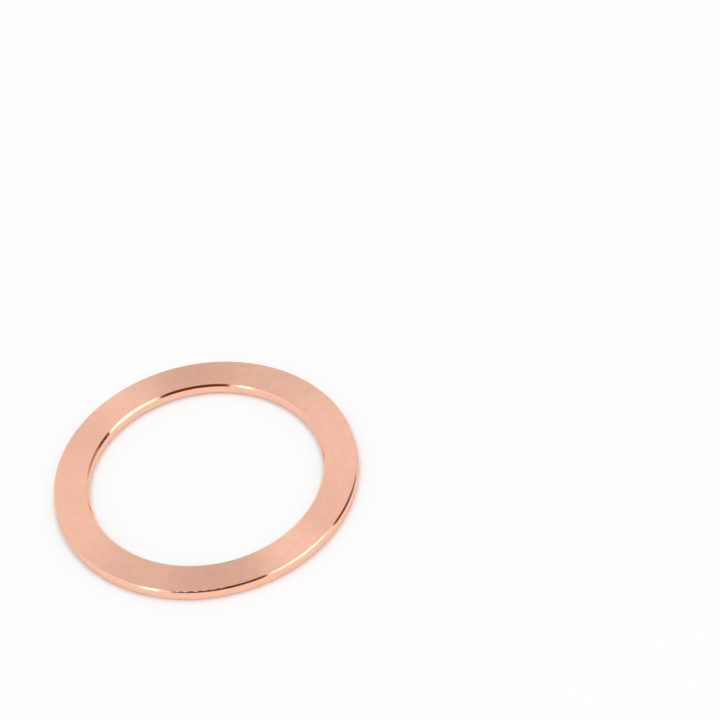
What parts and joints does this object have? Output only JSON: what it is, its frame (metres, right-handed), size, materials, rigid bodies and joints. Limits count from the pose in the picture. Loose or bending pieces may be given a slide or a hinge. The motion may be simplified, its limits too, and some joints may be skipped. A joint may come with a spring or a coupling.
{
  "type": "copper flange gasket",
  "caption": "Flat copper sealing ring with chamfered edges, crushed between the knife edges of round vacuum flanges.",
  "frame": {"origin": "centre of the ring's lower face, where its axis meets the surface it lies on", "axes": "+Z along the ring's axis, up from the lower face"},
  "size_m": [0.0482, 0.0482, 0.002],
  "materials": {
    "turned_copper": "satin turned faces, polished chamfers"
  },
  "bodies": {
    "root": {"gasket_ring": "turned_copper"}
  },
  "joints": []
}
